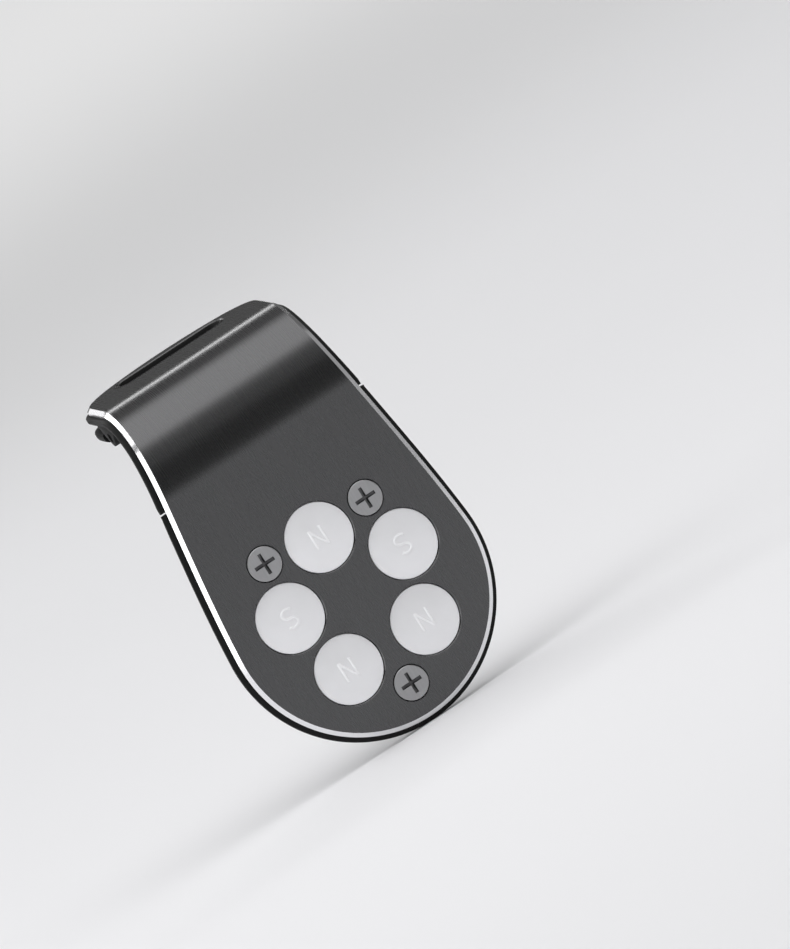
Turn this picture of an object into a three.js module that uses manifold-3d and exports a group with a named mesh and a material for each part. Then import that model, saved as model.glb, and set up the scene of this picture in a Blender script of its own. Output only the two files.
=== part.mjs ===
// Magnetic phone holder that clips onto a car's air vent.
// A bent metal shell carries five round magnets in a ring. A moulded cover and a clip housing
// back it, and a sprung jaw under the top flange grips one vent blade.
// Lengths are in millimetres. X is across the plate, Y goes back from its face, Z is up.

import * as THREE from 'three';
import { mergeVertices } from 'three/addons/utils/BufferGeometryUtils.js';
import Module from 'manifold-3d';

const wasm = await Module();
wasm.setup();

const RADIANS = Math.PI / 180;
const wellPast = 60;

// Bent metal shell, measured from the centre of the magnet ring.
const sheetThickness = 1;
const plateRadius = 19.5;
const flatTop = 25.7;
const softBendRadius = 21;
const softBendAngle = 22 * RADIANS;
const tightBendRadius = 11.5;
const flangeLean = 83 * RADIANS;
const flangeLength = 14.2;
const flangeHalfWidth = 14.8;

// Side edge of the plate: it leaves the round end at this angle and eases into the flange's width.
const sideStartAngle = 4.5 * RADIANS;
const sideStartHandle = 15;
const sideEndHeight = 41;
const sideEndHandle = 9;

// Rear edge of the flange, seen from above. In front of wideUntilY the plate sets the width.
const wideUntilY = 10;
const rearReach = 24.3;
const rearEdgeRadius = 34.2;
const rearCornerStartY = 17.3;
const rearCornerX = 8.6;
const rearCornerHandle = 3.2;

// Long slot in the flange, and the collar of the clip housing that lines it.
const slotCentreY = 19.6;
const slotHalfLength = 9.1;
const slotHalfWidth = 2.15;
const collarGap = 0.12;
const collarWall = 0.5;
const collarRecess = 0.04;
const collarEndDepth = 1.5;

// Magnets and their steel yoke.
const magnetRingRadius = 10.08;
const sideMagnetAngle = 16.3 * RADIANS;
const lowerMagnetAngle = -49.8 * RADIANS;
const magnetRadius = 5;
const magnetHoleRadius = 5.12;
const magnetThickness = 2;
const magnetSetback = 0.18;
const yokeRadius = 15.3;
const yokeFrontY = 2.2;
const yokeThickness = 0.8;

// Face screws, with countersunk heads.
const screwRingRadius = 14.1;
const upperScrewAngle = 52.4 * RADIANS;
const screwHeadRadius = 2.5;
const screwHoleRadius = 2.62;
const screwConeStart = 0.2;
const screwConeDepth = 1.3;
const screwHeadEdge = 0.12;
const screwShankRadius = 1.05;
const screwTipY = 3.9;
const screwSetback = 0.04;
const recessArm = 1.6;
const recessWidth = 0.55;
const recessDepth = 0.9;

// Moulded back cover. The profile gives depth behind its front, and growth past the plate.
const coverGap = 0.1;
const rimOverhang = 0.7;
const coverFrontY = sheetThickness + coverGap;
const coverTop = 24.5;
const coverTopSlopeStart = 19.6;
const coverTopY = 3.3;
const behindCoverY = 6;
const coverProfile = [[0, rimOverhang], [0.7, rimOverhang], [1.7, -0.1], [2.9, -1.2], [3.6, -2.8]];
const cavityRadius = 15.7;
const cavityBackY = 3.1;
const bossRadius = 2.3;
const bossFrontY = 1.5;
const bossHoleRadius = 1.2;
const bossHoleEndY = 4.1;

// A joined piece reaches this far into its neighbour, and a cut this far past what it cuts.
const bite = 0.5;
const past = 2;

// Clip housing: a liner under the bend, an upper jaw under the flange and two hinge ears.
const linerStart = 24.8;
const linerEndLean = 52 * RADIANS;
const linerOverlap = 0.2;
const linerBackDepth = 2.3;
const upperJawBackDepth = 1.95;
const tongueHalfWidth = 11;
const tongueBottom = 17;
const tongueBackY = 2.1;
const pegRadius = 1.2;
const pegX = 7;
const pegZ = 20.5;
const pegEndY = 3;
const fitGap = 0.2;
const earInnerX = 13.25;
const earRadius = 1.5;
const earDepth = 1.5;
const earStartLean = 58 * RADIANS;
const earEndAlong = 3;
const earArcStart = 200 * RADIANS;
const earArcSweep = 130 * RADIANS;

// Sprung lower jaw on its hinge pin.
const hingeY = 10.2;
const hingeZ = 37;
const pinRadius = 0.6;
const pinHoleRadius = 0.75;
const pinHalfLength = 15.25;
const knuckleRadius = 1.3;
const knuckleHalfWidth = 12.95;
const springInnerX = 5.8;
const springOuterX = 9;
const jawTopDepth = 3.35;
const jawCheekStart = 3;
const jawCheekDepth = 5.1;
const jawTipEnd = 13.2;
const tabHalfWidth = 10.5;
const coilPocketRadius = 1.5;

// Side profiles of the jaw, as distance along the flange from the bend and depth below its top.
const jawUnderside = [[13.6, 3.6], [12.6, 4.15], [11, 4.65], [8.5, 5.05], [5.5, 5.2]];
const webFront = [[-1.03, 3.57], [0, 3], [0.6, jawTopDepth]];
const webFoot = [-1.03, 4.87];

// Side profile (y, z) of the thumb tab, down the plate's side and up the other.
const tabSide = [[9.5, 36.9], [9.25, 34.6], [8.7, 31.6], [9.2, 31.2], [9.9, 31.5],
  [10.5, 34.4], [11.2, 35.9]];

// Torsion springs: wire, coil, and the (y, z) outlines of each leg.
const springWire = 0.4;
const springCoilRadius = 1.25;
const tabLegSide = [[8.75, 37], [8.35, 33], [8.75, 33], [9.3, 37]];
const linerLegSide = [[9.4, 37.9], [6.4, 36.5], [6.6, 36.15], [9.5, 37.4]];

// Silicone grip pads: where they run along the flange, and the depth of each below its top.
const padStart = 2.4;
const padEnd = 13;
const padInset = 0.6;
const upperPadDepths = [2, 2.45];
const lowerPadDepths = [2.85, 3.3];
const padHalfWidth = 13.75;

// The row's origin: the middle of the mouth between the two grip pads.
const mouthY = 18;
const mouthZ = 38.93;

// ---- solids, cuts and joins ----

function solidOf(geometry) {
  const bare = geometry.index ? geometry.toNonIndexed() : geometry.clone();
  bare.deleteAttribute('normal');
  bare.deleteAttribute('uv');
  const merged = mergeVertices(bare, 1e-5);
  return new wasm.Manifold(new wasm.Mesh({
    numProp: 3,
    vertProperties: Float32Array.from(merged.attributes.position.array),
    triVerts: Uint32Array.from(merged.index.array),
  }));
}

function geometryOf(solid) {
  const mesh = solid.getMesh();
  const geometry = new THREE.BufferGeometry();
  geometry.setAttribute('position', new THREE.BufferAttribute(mesh.vertProperties, 3));
  geometry.setIndex(new THREE.BufferAttribute(mesh.triVerts, 1));
  geometry.computeVertexNormals();
  return geometry;
}

function joined(...solids) {
  return solids.reduce((whole, piece) => whole.add(piece));
}

function cut(solid, ...tools) {
  return tools.reduce((rest, tool) => rest.subtract(tool), solid);
}

// ---- prisms, discs and turned shapes ----

function shapeOf(points) {
  return new THREE.Shape(points.map(([a, b]) => new THREE.Vector2(a, b)));
}

function prism(points, length) {
  return new THREE.ExtrudeGeometry(shapeOf(points), { depth: length, bevelEnabled: false });
}

// Points are (y, z); the prism runs along X from startX to endX.
function prismAlongX(points, startX, endX) {
  const axes = new THREE.Matrix4().set(0, 0, 1, startX, 1, 0, 0, 0, 0, 1, 0, 0, 0, 0, 0, 1);
  return solidOf(prism(points, endX - startX).applyMatrix4(axes));
}

// Points are (x, z); the prism runs along Y from startY to endY.
function prismAlongY(points, startY, endY) {
  const axes = new THREE.Matrix4().set(1, 0, 0, 0, 0, 0, -1, endY, 0, 1, 0, 0, 0, 0, 0, 1);
  return solidOf(prism(points, endY - startY).applyMatrix4(axes));
}

// Points are (x, y); the prism runs along Z from startZ to endZ.
function prismAlongZ(points, startZ, endZ) {
  return solidOf(prism(points, endZ - startZ).translate(0, 0, startZ));
}

// A profile of [radius, y] pairs, from low y to high, turned about a line along Y.
function turnedAlongY(profile, [x, z], segments) {
  const points = profile.map(([radius, y]) => new THREE.Vector2(radius, y));
  return solidOf(new THREE.LatheGeometry(points, segments).translate(x, 0, z));
}

function discAlongY(radius, startY, endY, centre, segments) {
  return turnedAlongY([[0, startY], [radius, startY], [radius, endY], [0, endY]], centre, segments);
}

// A cylinder along X about the hinge axis.
function barAtHinge(radius, startX, endX, segments) {
  const bar = new THREE.CylinderGeometry(radius, radius, endX - startX, segments);
  return solidOf(bar.rotateZ(Math.PI / 2).translate((startX + endX) / 2, hingeY, hingeZ));
}

function boxSolid(size, centre) {
  return solidOf(new THREE.BoxGeometry(...size).translate(...centre));
}

// A closed skin through outlines of equal length, given as [y, outline] from low y to high.
function loftAlongY(levels) {
  const count = levels[0][1].length;
  const positions = levels.flatMap(([y, outline]) => outline.flatMap(([x, z]) => [x, y, z]));
  const faces = [];
  for (let level = 0; level + 1 < levels.length; level += 1) {
    for (let i = 0; i < count; i += 1) {
      const here = level * count + i;
      const next = level * count + (i + 1) % count;
      faces.push(here, here + count, next, next, here + count, next + count);
    }
  }
  const capFaces = (level) => {
    const contour = levels[level][1].map(([x, z]) => new THREE.Vector2(x, z));
    return THREE.ShapeUtils.triangulateShape(contour, []);
  };
  const last = (levels.length - 1) * count;
  capFaces(0).forEach(([a, b, c]) => faces.push(a, b, c));
  capFaces(levels.length - 1).forEach(([a, b, c]) => faces.push(last + a, last + c, last + b));
  const geometry = new THREE.BufferGeometry();
  geometry.setAttribute('position', new THREE.Float32BufferAttribute(positions, 3));
  geometry.setIndex(faces);
  return solidOf(geometry);
}

// ---- the bent sheet ----

const softEnd = flatTop + softBendRadius * softBendAngle;
const bendEnd = softEnd + tightBendRadius * (flangeLean - softBendAngle);
const flangeEnd = bendEnd + flangeLength;
const radiusStep = softBendRadius - tightBendRadius;
const tightCentreY = softBendRadius - radiusStep * Math.cos(softBendAngle);
const tightCentreZ = flatTop + radiusStep * Math.sin(softBendAngle);

// The (y, z) place of a point at `run` along the sheet, `depth` below its outer surface.
function sheetPoint(run, depth) {
  if (run <= flatTop) {
    return [depth, run];
  }
  if (run <= softEnd) {
    const lean = (run - flatTop) / softBendRadius;
    const reach = softBendRadius - depth;
    return [softBendRadius - reach * Math.cos(lean), flatTop + reach * Math.sin(lean)];
  }
  const lean = Math.min(softBendAngle + (run - softEnd) / tightBendRadius, flangeLean);
  const reach = tightBendRadius - depth;
  const beyond = Math.max(run - bendEnd, 0);
  return [
    tightCentreY - reach * Math.cos(lean) + beyond * Math.sin(lean),
    tightCentreZ + reach * Math.sin(lean) + beyond * Math.cos(lean),
  ];
}

// Runs from start to end with a station about every seven degrees of each bend.
function stations(start, end) {
  const runs = [start, end];
  const softSteps = 3;
  const tightSteps = 9;
  for (let i = 0; i <= softSteps; i += 1) {
    runs.push(flatTop + (softEnd - flatTop) * i / softSteps);
  }
  for (let i = 1; i <= tightSteps; i += 1) {
    runs.push(softEnd + (bendEnd - softEnd) * i / tightSteps);
  }
  return runs.filter((run) => run >= start && run <= end).sort((a, b) => a - b)
    .filter((run, i, all) => i === 0 || run - all[i - 1] > 0.01);
}

// A layer of the sheet between two depths, across a width well past the plate's edges.
function layer(start, end, nearDepth, farDepth) {
  const runs = stations(start, end);
  const near = runs.map((run) => sheetPoint(run, nearDepth));
  const far = runs.map((run) => sheetPoint(run, farDepth));
  return prismAlongX([...near.reverse(), ...far], -wellPast, wellPast);
}

// ---- outlines ----

function cubic(a, b, c, d, t) {
  const r = 1 - t;
  return r * r * r * a + 3 * r * r * t * b + 3 * r * t * t * c + t * t * t * d;
}

function mirrored(rightSide) {
  const left = rightSide.filter(([x]) => x > 1e-6).map(([x, other]) => [-x, other]).reverse();
  return [...rightSide, ...left];
}

// The plate's outline (x, z), grown outwards by `grow`.
function plateOutline(grow) {
  const right = [];
  const arcSteps = 22;
  for (let i = 0; i <= arcSteps; i += 1) {
    const angle = -Math.PI / 2 + (Math.PI / 2 + sideStartAngle) * i / arcSteps;
    right.push([(plateRadius + grow) * Math.cos(angle), (plateRadius + grow) * Math.sin(angle)]);
  }
  const startX = plateRadius * Math.cos(sideStartAngle);
  const startZ = plateRadius * Math.sin(sideStartAngle);
  const xs = [startX, startX - sideStartHandle * Math.sin(sideStartAngle),
    flangeHalfWidth, flangeHalfWidth];
  const zs = [startZ, startZ + sideStartHandle * Math.cos(sideStartAngle),
    sideEndHeight - sideEndHandle, sideEndHeight];
  const sideSteps = 12;
  for (let i = 1; i <= sideSteps; i += 1) {
    const here = [cubic(...xs, i / sideSteps), cubic(...zs, i / sideSteps)];
    const before = [cubic(...xs, (i - 0.5) / sideSteps), cubic(...zs, (i - 0.5) / sideSteps)];
    const slope = new THREE.Vector2(here[0] - before[0], here[1] - before[1]).normalize();
    right.push([here[0] + grow * slope.y, here[1] - grow * slope.x]);
  }
  right.push([flangeHalfWidth + grow, wellPast]);
  return mirrored(right);
}

// The flange's outline (x, y) seen from above, grown outwards by `grow`.
function flangeOutline(grow) {
  const rearCentreY = rearReach - rearEdgeRadius;
  const rearAngle = Math.asin(rearCornerX / rearEdgeRadius);
  const rearCornerY = rearCentreY + rearEdgeRadius * Math.cos(rearAngle);
  const xs = [flangeHalfWidth + grow, flangeHalfWidth + grow,
    rearCornerX + rearCornerHandle * Math.cos(rearAngle) + grow * Math.sin(rearAngle),
    rearCornerX + grow * Math.sin(rearAngle)];
  const ys = [rearCornerStartY, rearCornerStartY + rearCornerHandle,
    rearCornerY - rearCornerHandle * Math.sin(rearAngle) + grow, rearCornerY + grow];
  const right = [[wellPast, -wellPast], [wellPast, wideUntilY], [flangeHalfWidth + grow, wideUntilY]];
  const cornerSteps = 7;
  for (let i = 0; i <= cornerSteps; i += 1) {
    right.push([cubic(...xs, i / cornerSteps), cubic(...ys, i / cornerSteps)]);
  }
  const rearSteps = 3;
  for (let i = rearSteps - 1; i >= 0; i -= 1) {
    const angle = rearAngle * i / rearSteps;
    right.push([(rearEdgeRadius + grow) * Math.sin(angle),
      rearCentreY + (rearEdgeRadius + grow) * Math.cos(angle)]);
  }
  return mirrored(right);
}

function trimmed(solid, grow) {
  return solid.intersect(prismAlongY(plateOutline(grow), -wellPast, wellPast))
    .intersect(prismAlongZ(flangeOutline(grow), -wellPast, wellPast));
}

// The flange's round-ended slot as a prism up through the flange, made smaller by `inset`.
function slotPrism(inset) {
  const slot = new THREE.Shape();
  const halfWidth = slotHalfWidth - inset;
  const straight = slotHalfLength - slotHalfWidth;
  slot.absarc(straight, slotCentreY, halfWidth, -Math.PI / 2, Math.PI / 2, false);
  slot.absarc(-straight, slotCentreY, halfWidth, Math.PI / 2, Math.PI * 3 / 2, false);
  return prismAlongZ(slot.getPoints(5).map(({ x, y }) => [x, y]), 0, wellPast);
}

function onRing(radius, angle) {
  return [radius * Math.cos(angle), radius * Math.sin(angle)];
}

// The (y, z) place of a point `along` the flange from the bend and `below` its outer surface.
function flangePoint(along, below) {
  const [startY, startZ] = sheetPoint(bendEnd, 0);
  const lean = flangeLean;
  return [startY + along * Math.sin(lean) + below * Math.cos(lean),
    startZ + along * Math.cos(lean) - below * Math.sin(lean)];
}

// ---- the pieces ----

const magnets = {
  magnet_top: onRing(magnetRingRadius, Math.PI / 2),
  magnet_right: onRing(magnetRingRadius, sideMagnetAngle),
  magnet_lower_right: onRing(magnetRingRadius, lowerMagnetAngle),
  magnet_lower_left: onRing(magnetRingRadius, Math.PI - lowerMagnetAngle),
  magnet_left: onRing(magnetRingRadius, Math.PI - sideMagnetAngle),
};

const screws = {
  face_screw_right: onRing(screwRingRadius, upperScrewAngle),
  face_screw_left: onRing(screwRingRadius, Math.PI - upperScrewAngle),
  face_screw_bottom: onRing(screwRingRadius, -Math.PI / 2),
};

function frontShell() {
  const sheet = trimmed(layer(-wellPast, flangeEnd + past, 0, sheetThickness), 0);
  const magnetHoles = Object.values(magnets).map((place) => (
    discAlongY(magnetHoleRadius, -past, sheetThickness + past, place, 40)));
  const coneSlope = (screwHoleRadius - screwShankRadius) / screwConeDepth;
  const screwHoles = Object.values(screws).map((place) => turnedAlongY([
    [0, -past], [screwHoleRadius, -past], [screwHoleRadius, screwConeStart],
    [screwHoleRadius - coneSlope * sheetThickness, sheetThickness + screwConeStart],
    [0, sheetThickness + screwConeStart],
  ], place, 24));
  return cut(sheet, slotPrism(0), ...magnetHoles, ...screwHoles);
}

function magnet(place) {
  return discAlongY(magnetRadius, magnetSetback, magnetSetback + magnetThickness, place, 40);
}

function faceScrew([x, z]) {
  const body = turnedAlongY([
    [0, screwSetback], [screwHeadRadius, screwSetback], [screwHeadRadius, screwSetback + screwHeadEdge],
    [screwShankRadius, screwConeDepth], [screwShankRadius, screwTipY], [0, screwTipY],
  ], [x, z], 24);
  const centre = [x, screwSetback, z];
  const across = boxSolid([recessArm * 2, recessDepth * 2, recessWidth], centre);
  const upright = boxSolid([recessWidth, recessDepth * 2, recessArm * 2], centre);
  return cut(body, across, upright);
}

function yokePlate() {
  const plate = discAlongY(yokeRadius, yokeFrontY, yokeFrontY + yokeThickness, [0, 0], 40);
  const notches = Object.values(screws).map((place) => (
    discAlongY(bossRadius + fitGap, 0, 5, place, 24)));
  return cut(plate, ...notches);
}

// The back is full near the middle and rounds away to a thin rim.
function backCover() {
  const body = loftAlongY(coverProfile.map(([depth, grow]) => (
    [coverFrontY + depth, plateOutline(grow)])));
  const keptSide = [[0, -wellPast], [behindCoverY, -wellPast], [behindCoverY, coverTopSlopeStart],
    [coverTopY, coverTop], [0, coverTop]];
  const cavity = discAlongY(cavityRadius, 0, cavityBackY, [0, 0], 40);
  const pocketTop = coverTop + 5;
  const tonguePocket = boxSolid(
    [2 * (tongueHalfWidth + fitGap), 2 * (tongueBackY + fitGap), pocketTop - tongueBottom],
    [0, 0, (pocketTop + tongueBottom) / 2 - fitGap]);
  const pegHoles = [-pegX, pegX].map((x) => (
    discAlongY(pegRadius + fitGap, 0, pegEndY + fitGap, [x, pegZ], 16)));
  const bosses = Object.values(screws).map((place) => (
    discAlongY(bossRadius, bossFrontY, cavityBackY + bite, place, 24)));
  const bossHoles = Object.values(screws).map((place) => (
    discAlongY(bossHoleRadius, 0, bossHoleEndY, place, 24)));
  const hollowed = cut(body.intersect(prismAlongX(keptSide, -wellPast, wellPast)), cavity,
    tonguePocket);
  return cut(joined(hollowed, ...bosses), ...pegHoles, ...bossHoles);
}

// The clip housing's ear: from the liner, round the hinge pin and up to the flange.
function earSolid(side) {
  const linerRun = softEnd + tightBendRadius * (earStartLean - softBendAngle);
  const outline = [sheetPoint(linerRun, earDepth)];
  const arcSteps = 8;
  for (let i = 0; i <= arcSteps; i += 1) {
    const angle = earArcStart + earArcSweep * i / arcSteps;
    outline.push([hingeY + earRadius * Math.cos(angle), hingeZ + earRadius * Math.sin(angle)]);
  }
  outline.push(flangePoint(earEndAlong, earDepth), flangePoint(0, earDepth));
  const outerX = flangeHalfWidth + rimOverhang;
  const [startX, endX] = side > 0 ? [earInnerX, outerX] : [-outerX, -earInnerX];
  return prismAlongX(outline, startX, endX);
}

function clipHousing() {
  const linerEnd = softEnd + tightBendRadius * (linerEndLean - softBendAngle);
  const liner = layer(linerStart, linerEnd, coverFrontY, linerBackDepth);
  const upperJaw = layer(linerEnd - linerOverlap, flangeEnd + past, coverFrontY, upperJawBackDepth);
  const shelf = trimmed(joined(liner, upperJaw), rimOverhang);
  const collar = layer(bendEnd, flangeEnd, collarRecess, collarEndDepth)
    .intersect(slotPrism(collarGap)).subtract(slotPrism(collarGap + collarWall));
  const tongue = boxSolid(
    [2 * tongueHalfWidth, tongueBackY - coverFrontY, linerStart + bite - tongueBottom],
    [0, (tongueBackY + coverFrontY) / 2, (linerStart + bite + tongueBottom) / 2]);
  const pegs = [-pegX, pegX].map((x) => (
    discAlongY(pegRadius, tongueBackY - bite, pegEndY, [x, pegZ], 16)));
  const whole = joined(shelf, collar, tongue, ...pegs, earSolid(1), earSolid(-1));
  return cut(whole, barAtHinge(pinHoleRadius, -wellPast, wellPast, 24));
}

function lowerJaw() {
  const plateSide = [[jawCheekStart, jawTopDepth], [jawTipEnd, jawTopDepth], ...jawUnderside,
    [jawCheekStart, jawCheekDepth]]
    .map(([along, below]) => flangePoint(along, below)).reverse();
  const outerX = flangeHalfWidth + rimOverhang;
  const plate = prismAlongX(plateSide, -outerX, outerX)
    .intersect(prismAlongZ(flangeOutline(rimOverhang), -wellPast, wellPast));
  const webSide = [...webFront, [jawCheekStart + bite, jawTopDepth],
    [jawCheekStart + bite, jawCheekDepth], webFoot]
    .map(([along, below]) => flangePoint(along, below)).reverse();
  const web = prismAlongX(webSide, -knuckleHalfWidth, knuckleHalfWidth);
  const knuckle = barAtHinge(knuckleRadius, -knuckleHalfWidth, knuckleHalfWidth, 24);
  const tab = prismAlongX(tabSide, -tabHalfWidth, tabHalfWidth);
  const pockets = [-1, 1].map((side) => {
    const near = side * (springInnerX - fitGap);
    const far = side * (springOuterX + fitGap);
    return barAtHinge(coilPocketRadius, Math.min(near, far), Math.max(near, far), 24);
  });
  const bore = barAtHinge(pinHoleRadius, -wellPast, wellPast, 24);
  return cut(joined(plate, web, knuckle, tab), ...pockets, bore);
}

function gripPad([nearDepth, farDepth]) {
  const side = [[padStart, nearDepth], [padStart, farDepth], [padEnd, farDepth], [padEnd, nearDepth]]
    .map(([along, below]) => flangePoint(along, below));
  return prismAlongX(side, -padHalfWidth, padHalfWidth)
    .intersect(prismAlongZ(flangeOutline(-padInset), -wellPast, wellPast));
}

// A torsion spring round the pin: one leg bears on the liner, the other on the jaw's tab.
function torsionSpring(side) {
  const coilHole = springCoilRadius - springWire;
  const span = (from, to) => [side * from, side * to].sort((a, b) => a - b);
  const [startX, endX] = span(springInnerX, springOuterX);
  const coil = cut(barAtHinge(springCoilRadius, startX, endX, 20),
    barAtHinge(coilHole, -wellPast, wellPast, 20));
  const tabLeg = prismAlongX(tabLegSide, ...span(springInnerX, springInnerX + springWire));
  const linerLeg = prismAlongX(linerLegSide, ...span(springOuterX - springWire, springOuterX));
  return joined(coil, tabLeg, linerLeg);
}

// ---- materials and assembly ----

function finish(color, roughness, metalness) {
  return { color, roughness, metalness };
}

const gunmetal = finish(0x4b4c4f, 0.35, 1);
const plating = finish(0xe6e7e9, 0.3, 1);
const screwSteel = finish(0x96979a, 0.4, 1);
const blackPlastic = finish(0x0d0d0e, 0.55, 0);
const silicone = finish(0x161617, 0.8, 0);
const bareSteel = finish(0x85878a, 0.45, 1);

const holder = new THREE.Group();
const assembly = new THREE.Group();
assembly.position.set(0, -mouthY, -mouthZ);
holder.add(assembly);

function place(name, solid, look) {
  const mesh = new THREE.Mesh(geometryOf(solid), new THREE.MeshStandardMaterial(look));
  mesh.name = name;
  assembly.add(mesh);
}

place('front_shell', frontShell(), gunmetal);
Object.entries(magnets).forEach(([name, centre]) => place(name, magnet(centre), plating));
Object.entries(screws).forEach(([name, centre]) => place(name, faceScrew(centre), screwSteel));
place('yoke_plate', yokePlate(), bareSteel);
place('back_cover', backCover(), blackPlastic);
place('clip_housing', clipHousing(), blackPlastic);
place('upper_grip_pad', gripPad(upperPadDepths), silicone);
place('lower_grip_pad', gripPad(lowerPadDepths), silicone);
place('lower_jaw', lowerJaw(), blackPlastic);
place('hinge_pin', barAtHinge(pinRadius, -pinHalfLength, pinHalfLength, 24), bareSteel);
place('spring_left', torsionSpring(-1), bareSteel);
place('spring_right', torsionSpring(1), bareSteel);

export default holder;
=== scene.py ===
"""Looks of a magnetic phone holder for a car's air vent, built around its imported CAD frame.

Shapes are worked out in millimetres in the plate's own frame: X across, Y back from the plate's
face and Z up, with the middle of the magnet ring as the origin. to_row() gives metres in the row
frame. The bent sheet is drawn flat, as (x, run) points, and sheet_point() bends it.
"""

import math

import bmesh
import bpy
import numpy as np
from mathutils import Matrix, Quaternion, Vector
from mathutils.geometry import delaunay_2d_cdt


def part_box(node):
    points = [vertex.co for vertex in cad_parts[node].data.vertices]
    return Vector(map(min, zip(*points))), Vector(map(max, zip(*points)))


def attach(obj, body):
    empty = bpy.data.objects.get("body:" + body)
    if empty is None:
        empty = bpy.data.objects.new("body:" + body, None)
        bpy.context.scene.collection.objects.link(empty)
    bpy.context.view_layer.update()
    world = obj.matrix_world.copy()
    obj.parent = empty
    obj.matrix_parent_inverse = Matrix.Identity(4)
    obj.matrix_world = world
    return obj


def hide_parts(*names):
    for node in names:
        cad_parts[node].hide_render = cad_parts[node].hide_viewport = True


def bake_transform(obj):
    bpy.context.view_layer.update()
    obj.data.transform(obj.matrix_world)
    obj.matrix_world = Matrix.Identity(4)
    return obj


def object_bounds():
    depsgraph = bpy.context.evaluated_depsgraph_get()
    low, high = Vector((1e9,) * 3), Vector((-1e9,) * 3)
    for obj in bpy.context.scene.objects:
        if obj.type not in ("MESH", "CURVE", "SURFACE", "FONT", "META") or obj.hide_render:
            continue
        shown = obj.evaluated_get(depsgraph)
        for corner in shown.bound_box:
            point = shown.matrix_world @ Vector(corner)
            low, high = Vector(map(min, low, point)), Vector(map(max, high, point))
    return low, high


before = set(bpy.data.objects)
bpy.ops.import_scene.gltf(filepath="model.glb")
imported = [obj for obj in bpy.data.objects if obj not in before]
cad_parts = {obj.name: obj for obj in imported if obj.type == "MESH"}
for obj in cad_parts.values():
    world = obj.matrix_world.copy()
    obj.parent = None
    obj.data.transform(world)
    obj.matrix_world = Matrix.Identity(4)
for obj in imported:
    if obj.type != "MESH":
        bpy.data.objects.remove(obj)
cad_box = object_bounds()

MM = 0.001

# Bent metal shell.
SHEET_THICKNESS = 1.0
PLATE_RADIUS = 19.5
FLAT_TOP = 25.7
SOFT_RADIUS = 21.0
SOFT_ANGLE = math.radians(22)
TIGHT_RADIUS = 11.5
FLANGE_LEAN = math.radians(83)
FLANGE_LENGTH = 14.2
FLANGE_HALF_WIDTH = 14.8
SIDE_START_ANGLE = math.radians(4.5)
SIDE_START_HANDLE = 15.0
SIDE_END_HEIGHT = 41.0
SIDE_END_HANDLE = 9.0
REAR_REACH = 24.3
REAR_EDGE_RADIUS = 34.2
REAR_CORNER_START_Y = 17.3
REAR_CORNER_X = 8.6
REAR_CORNER_HANDLE = 3.2
SLOT_CENTRE_Y = 19.6
SLOT_HALF_LENGTH = 9.1
SLOT_HALF_WIDTH = 2.15
COLLAR_GAP = 0.12
COLLAR_WALL = 0.5
COLLAR_RECESS = 0.04
COLLAR_END_DEPTH = 1.5
CHAMFER_WIDTH = 0.6
CHAMFER_DEPTH = 0.45
BACK_EDGE = 0.07
SLOT_EDGE = 0.15

# How finely the plate's outline is drawn: its step, and the parts in a straight cut across it.
OUTLINE_STEP = 0.35
STRAIGHT_PARTS = 28

# Magnets and screws.
MAGNET_HOLE_GAP = 0.12
MAGNET_HOLE_EDGE = 0.1
MAGNET_ROUNDING = 0.07
MARK_STROKE = 0.4
MARK_HALF_WIDTH = 1.1
N_HALF_HEIGHT = 1.48
N_DIAGONAL_DROP = 0.68
S_HALF_HEIGHT = 1.6
MARK_STEP = 0.2
SCREW_HOLE_GAP = 0.12
SCREW_HOLE_EDGE = 0.06
SCREW_HOLE_TAPER = 1.0
RECESS_ARM = 1.6
RECESS_HALF_WIDTH = 0.27
RECESS_DEPTH = 0.6
SCREW_CONE_DEPTH = 1.3
SCREW_SHANK_RADIUS = 1.05
SCREW_TIP_Y = 3.9
SCREW_TIP_RADIUS = 0.5
THREAD_PITCH = 0.42
THREAD_DEPTH = 0.2

# A pole mark's side: how far it grows, and how high it stands above the magnet.
MARK_SIDE = ((0, -0.03), (0, 0), (-0.03, 0.063), (-0.07, 0.09))

# Mouldings behind the sheet.
COVER_FRONT_Y = 1.1
COVER_BACK_Y = 4.7
COVER_TOP = 24.5
COVER_TOP_Y = 3.3
COVER_SLOPE_START = 19.6
BEHIND_COVER_Y = 6.0
COVER_SLOPE_BLEND = 0.5
CAVITY_RADIUS = 15.7
CAVITY_BACK_Y = 3.1
RIM_OVERHANG = 0.7
LINER_START = 24.8
LINER_BACK_DEPTH = 2.3
UPPER_JAW_BACK_DEPTH = 1.95
LINER_END_LEAN = math.radians(52)
TONGUE_HALF_WIDTH = 11.0
TONGUE_BOTTOM = 17.0
TONGUE_TOP = 25.3
TONGUE_BACK_Y = 2.1
TONGUE_EDGE = 0.15
PEG_X = 7.0
PEG_Z = 20.5
PEG_RADIUS = 1.2
PEG_END_Y = 3.0
COLLAR_EDGE = 0.08

# The cover's rim and side, as growth past the plate and depth: the rim behind the cover's front,
# then the four control points of the curve from the rim to the back.
COVER_RIM = ((RIM_OVERHANG - 0.13, 0), (RIM_OVERHANG - 0.03, 0.04), (RIM_OVERHANG, 0.14))
COVER_SIDE = ((RIM_OVERHANG, 1.8), (RIM_OVERHANG - 0.1, 2.9), (-1.0, 4.55), (-2.8, COVER_BACK_Y))

# The shallow dish in the cover's back, as radius and depth.
DISH = ((12.6, 0), (12.45, 0.04), (12.2, 0.22), (12.0, 0.28))

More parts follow.
